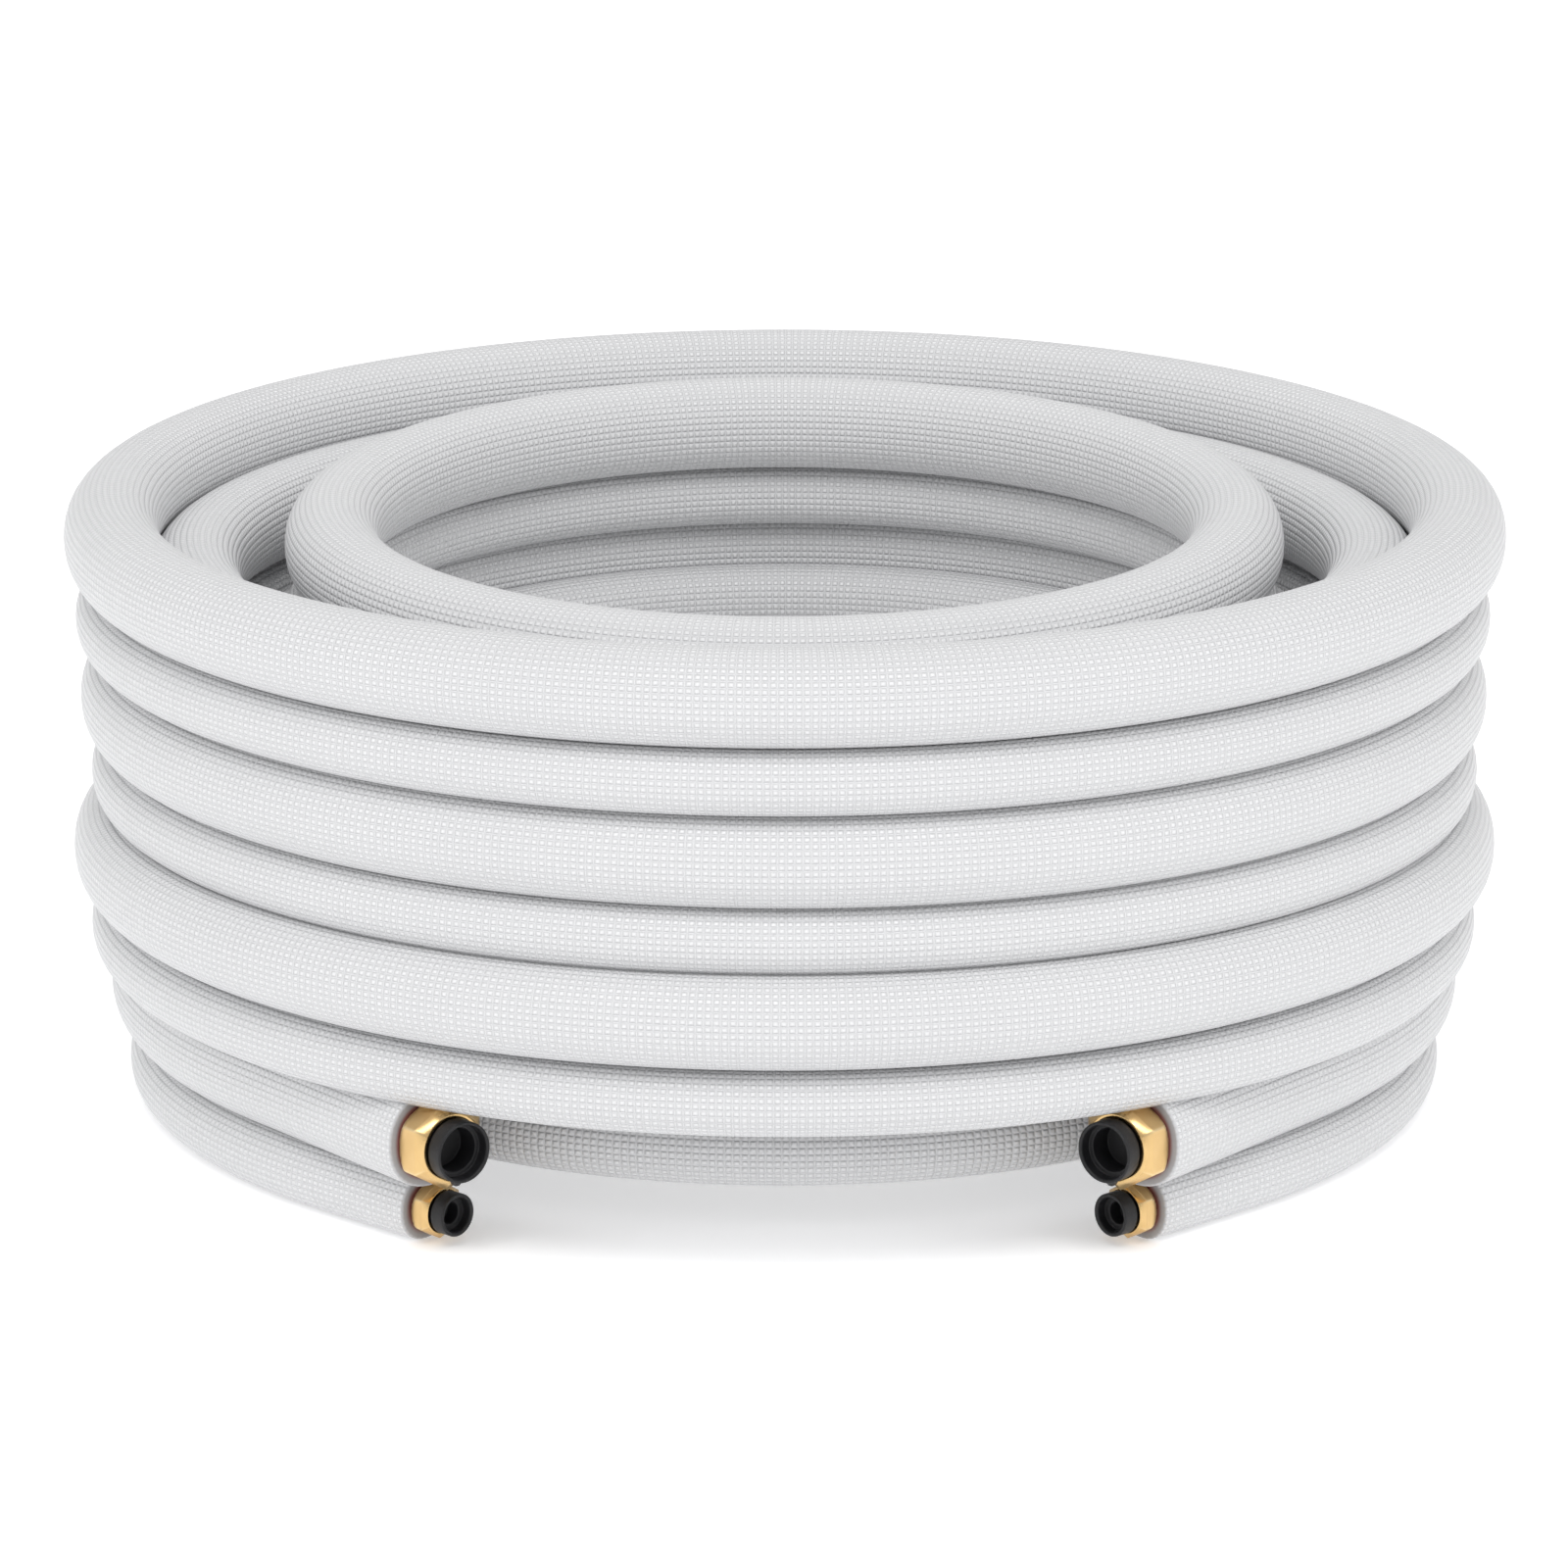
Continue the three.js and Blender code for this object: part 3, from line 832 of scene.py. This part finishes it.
# a plain pale floor that glows a little, and soft studio light; places in metres, powers in watts
studio = {
    "floor": (0.93, 0.93, 0.935, 1.0),
    "floorReach": 30.0,
    "floorRoughness": 0.9,
    "white": (1.0, 1.0, 1.0, 1.0),
    "floorGlow": 0.30,
    "skyStrength": 0.62,
    "aim": (0.0, 0.0, 0.1),
    "softboxes": [
        {"name": "frontSoftbox", "place": (0.0, -2.3, 3.6), "size": (3.0, 1.8), "power": 70},
        {"name": "backSoftbox", "place": (0.0, 2.6, 2.4), "size": (3.0, 1.4), "power": 16},
        {"name": "leftSoftbox", "place": (-2.2, -1.0, 1.2), "size": (1.2, 1.6), "power": 10},
        {"name": "rightSoftbox", "place": (2.2, -1.0, 1.2), "size": (1.2, 1.6), "power": 10},
    ],
}


def layFloor():
    reach = studio["floorReach"]
    corners = [(-reach, -reach, 0), (reach, -reach, 0), (reach, reach, 0), (-reach, reach, 0)]
    mesh = bpy.data.meshes.new("studioFloor")
    mesh.from_pydata(corners, [], [(0, 1, 2, 3)])
    floor = bpy.data.objects.new("studioFloor", mesh)
    bpy.context.scene.collection.objects.link(floor)
    made, _, _, shader = startMaterial("paleFloor")
    shader.inputs["Base Color"].default_value = studio["floor"]
    shader.inputs["Roughness"].default_value = studio["floorRoughness"]
    shader.inputs["Emission Color"].default_value = studio["white"]
    shader.inputs["Emission Strength"].default_value = studio["floorGlow"]
    mesh.materials.append(made)


def hangLight(facts):
    light = bpy.data.lights.new(facts["name"], "AREA")
    light.shape = "RECTANGLE"
    light.size, light.size_y = facts["size"]
    light.energy = facts["power"]
    holder = bpy.data.objects.new(facts["name"], light)
    bpy.context.scene.collection.objects.link(holder)
    holder.location = facts["place"]
    x, y, z = np.array(studio["aim"]) - np.array(facts["place"])
    holder.rotation_euler = (math.atan2(math.hypot(x, y), -z), 0.0, math.atan2(x, -y) + math.pi)


def lightStudio():
    world = bpy.data.worlds.new("studioSky")
    bpy.context.scene.world = world
    world.use_nodes = True
    sky = world.node_tree.nodes["Background"]
    sky.inputs[0].default_value = studio["white"]
    sky.inputs[1].default_value = studio["skyStrength"]
    for facts in studio["softboxes"]:
        hangLight(facts)


layFloor()
lightStudio()
bpy.context.scene.view_settings.view_transform = "Standard"
print("lit the studio")
